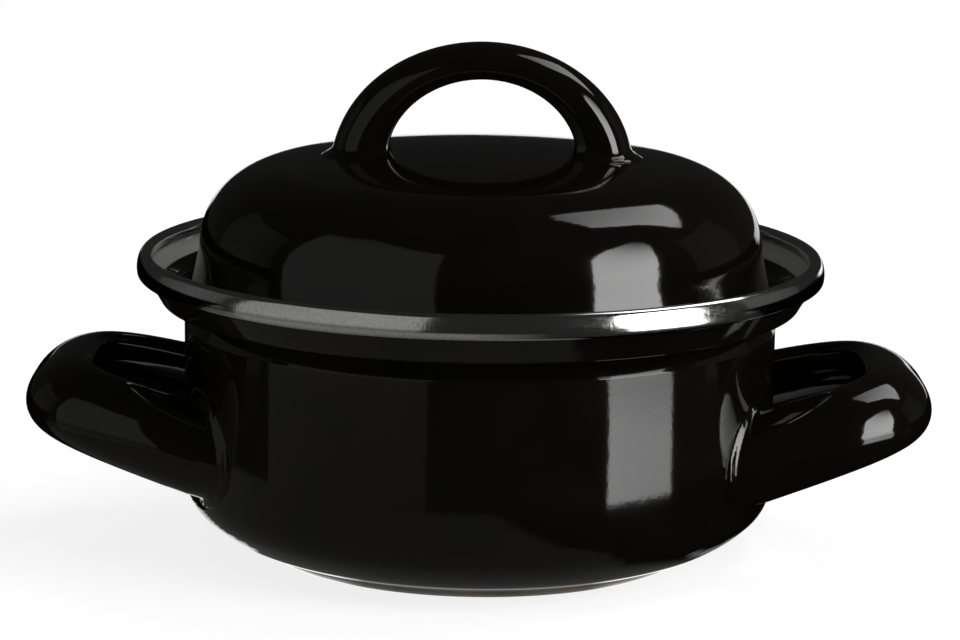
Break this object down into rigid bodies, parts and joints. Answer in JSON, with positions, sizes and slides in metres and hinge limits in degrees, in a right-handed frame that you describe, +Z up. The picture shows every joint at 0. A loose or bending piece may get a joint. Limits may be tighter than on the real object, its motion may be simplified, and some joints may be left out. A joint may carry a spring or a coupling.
{
  "type": "casserole dish",
  "caption": "Small enamelled casserole dish: round dished pot with loop handles and a crimped steel rim band, and a domed lid with an arched strap handle that rests inside the rim.",
  "frame": {"origin": "centre of the base, at the height of the tread that the pot stands on", "axes": "+Z up through the lid; X through both side handles and along the arch of the lid handle"},
  "size_m": [0.188, 0.1424, 0.1054],
  "materials": {
    "black_enamel": "high gloss vitreous enamel, pale grey on the inside of the pot",
    "rim_steel": "rolled stainless strip with fine cross marks"
  },
  "bodies": {
    "root": {"pot_shell": "black_enamel", "rim_band": "rim_steel", "left_handle": "black_enamel", "right_handle": "black_enamel", "lid_shell": "black_enamel", "lid_handle": "black_enamel"}
  },
  "joints": []
}
